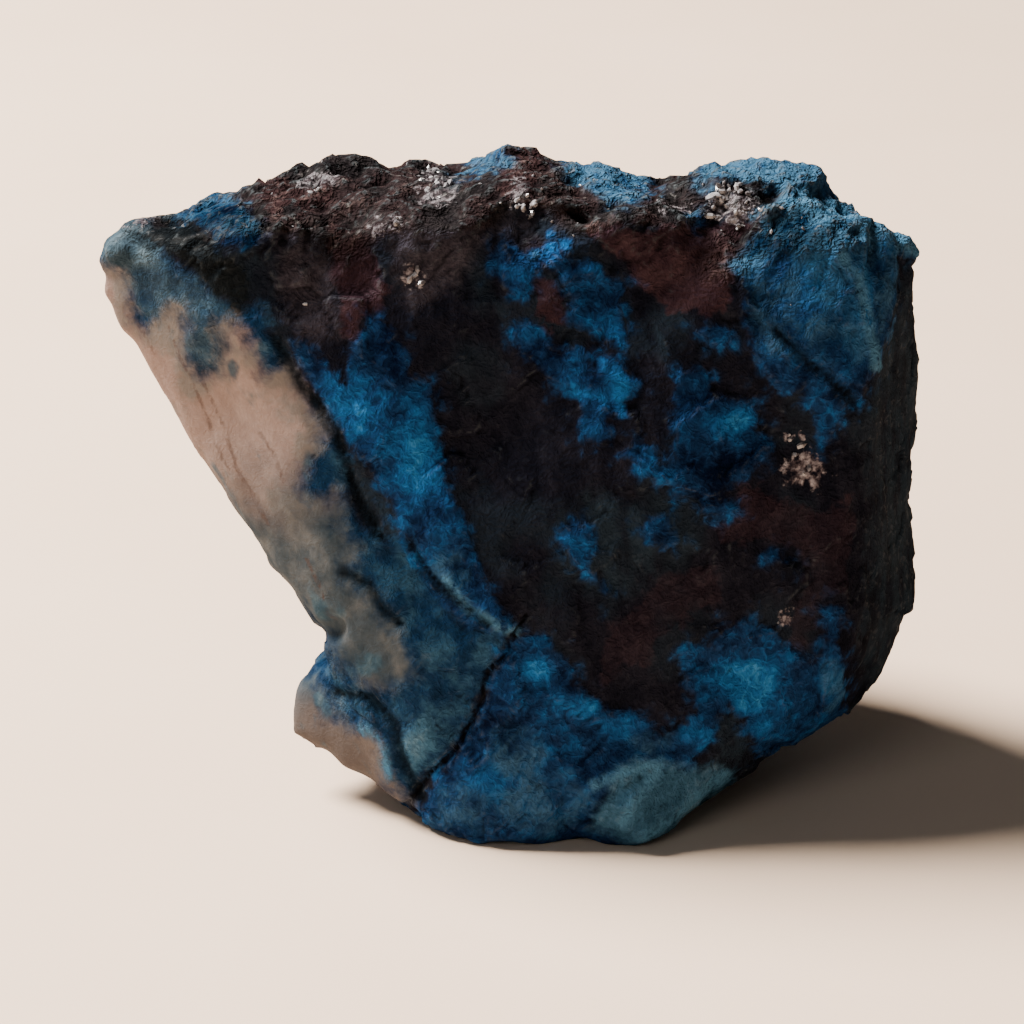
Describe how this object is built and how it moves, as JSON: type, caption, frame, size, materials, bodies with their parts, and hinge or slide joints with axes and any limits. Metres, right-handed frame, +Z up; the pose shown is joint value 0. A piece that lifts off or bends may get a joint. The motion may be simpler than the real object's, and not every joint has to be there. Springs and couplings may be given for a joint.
{
  "type": "rough shattuckite stone",
  "caption": "Broken lump of dark blue shattuckite ore with a pale quartz vein down one side, standing on its flat lower break.",
  "frame": {"origin": "on the resting plane, under the middle of the stone's box", "axes": "+Z up from the resting face; the broad broken face looks along -Y; +X runs along the stone's width, from the quartz vein towards the dark side"},
  "size_m": [0.0524, 0.033, 0.0409],
  "materials": {
    "shattuckite": "rough broken mineral, satin where it is damp"
  },
  "bodies": {
    "root": {"shattuckite_stone": "shattuckite"}
  },
  "joints": []
}
